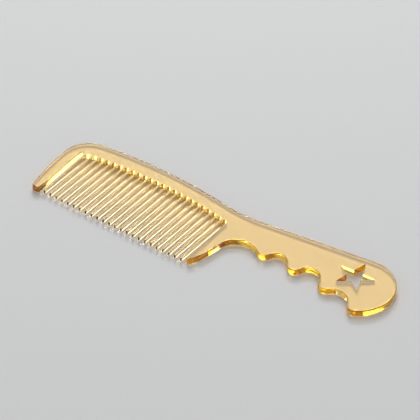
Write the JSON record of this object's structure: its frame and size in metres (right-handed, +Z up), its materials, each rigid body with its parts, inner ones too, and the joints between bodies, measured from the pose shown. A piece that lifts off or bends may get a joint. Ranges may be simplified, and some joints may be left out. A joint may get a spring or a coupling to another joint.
{
  "type": "wide tooth comb",
  "caption": "Flat clear amber hair comb with a row of long wide-set teeth, a crowned back, a scalloped finger grip and a round end with a star-shaped hanging hole.",
  "frame": {"origin": "middle of the underside, at the centre of the comb's length and width", "axes": "+X along the comb from the front end tooth to the round end of the grip, +Y from the tooth tips to the back, +Z up through the thickness, with the comb lying flat"},
  "size_m": [0.1898, 0.0531, 0.0036],
  "materials": {
    "amber_plastic": "polished clear amber"
  },
  "bodies": {
    "root": {"back": "amber_plastic", "front_end_tooth": "amber_plastic", "inner_teeth": "amber_plastic", "rear_end_tooth": "amber_plastic", "grip": "amber_plastic"}
  },
  "joints": []
}
